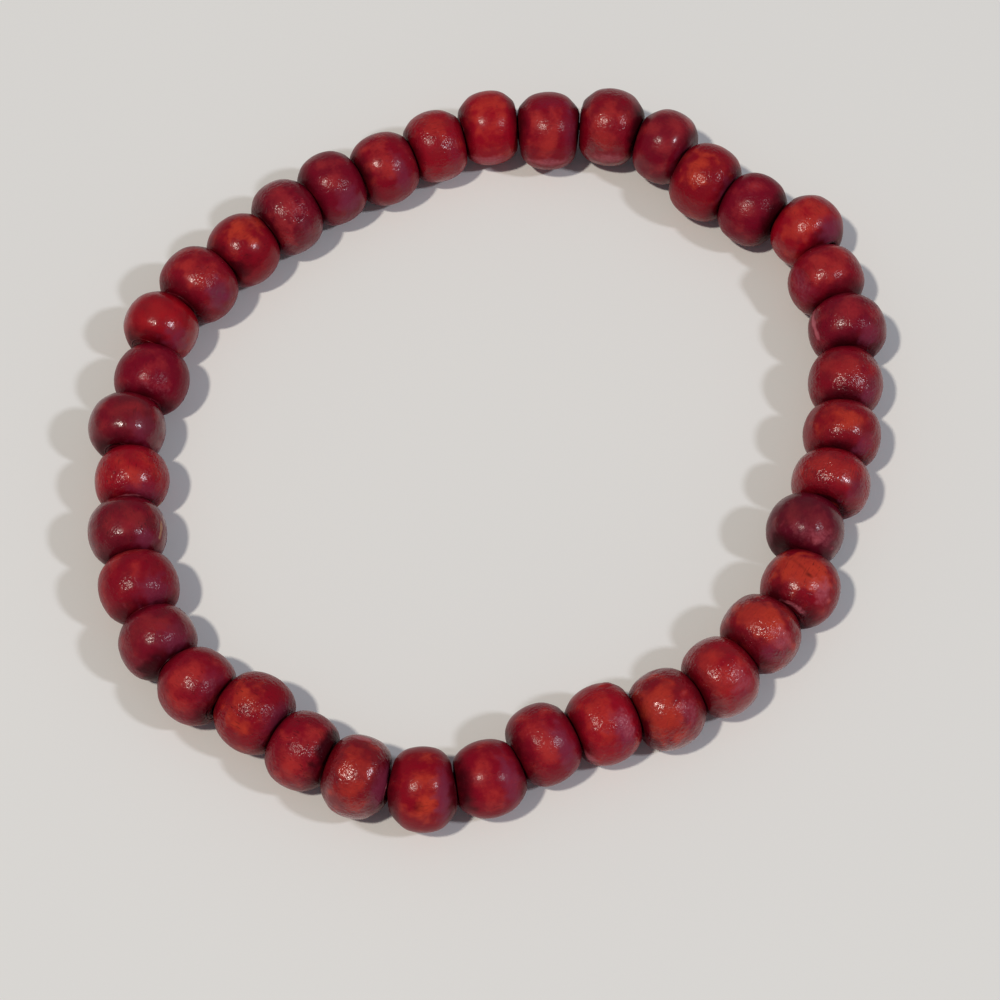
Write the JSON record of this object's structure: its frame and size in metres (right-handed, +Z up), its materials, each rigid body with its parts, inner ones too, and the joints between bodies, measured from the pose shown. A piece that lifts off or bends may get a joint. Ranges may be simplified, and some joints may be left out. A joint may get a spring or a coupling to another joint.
{
  "type": "beaded stretch bracelet",
  "caption": "Closed bracelet of small red stained wooden beads on a hidden elastic cord, lying flat in a slightly uneven oval loop.",
  "frame": {"origin": "on the table, under the middle of the box of the loop as it lies", "axes": "+Z up through the wrist opening, +Y towards the far side of the loop in the reference view, +X to the right"},
  "size_m": [0.0706, 0.0738, 0.0073],
  "materials": {
    "bead_wood": "stained dark red and clear lacquered",
    "elastic": "satin"
  },
  "bodies": {
    "root": {"bead_01": "bead_wood", "bead_02": "bead_wood", "bead_03": "bead_wood", "bead_04": "bead_wood", "bead_05": "bead_wood", "bead_06": "bead_wood", "bead_07": "bead_wood", "bead_08": "bead_wood", "bead_09": "bead_wood", "bead_10": "bead_wood", "bead_11": "bead_wood", "bead_12": "bead_wood", "bead_13": "bead_wood", "bead_14": "bead_wood", "bead_15": "bead_wood", "bead_16": "bead_wood", "bead_17": "bead_wood", "bead_18": "bead_wood", "bead_19": "bead_wood", "bead_20": "bead_wood", "bead_21": "bead_wood", "bead_22": "bead_wood", "bead_23": "bead_wood", "bead_24": "bead_wood", "bead_25": "bead_wood", "bead_26": "bead_wood", "bead_27": "bead_wood", "bead_28": "bead_wood", "bead_29": "bead_wood", "bead_30": "bead_wood", "bead_31": "bead_wood", "bead_32": "bead_wood", "bead_33": "bead_wood", "bead_34": "bead_wood", "bead_35": "bead_wood", "bead_36": "bead_wood", "bead_37": "bead_wood", "bead_38": "bead_wood", "elastic_cord": "elastic"}
  },
  "joints": []
}
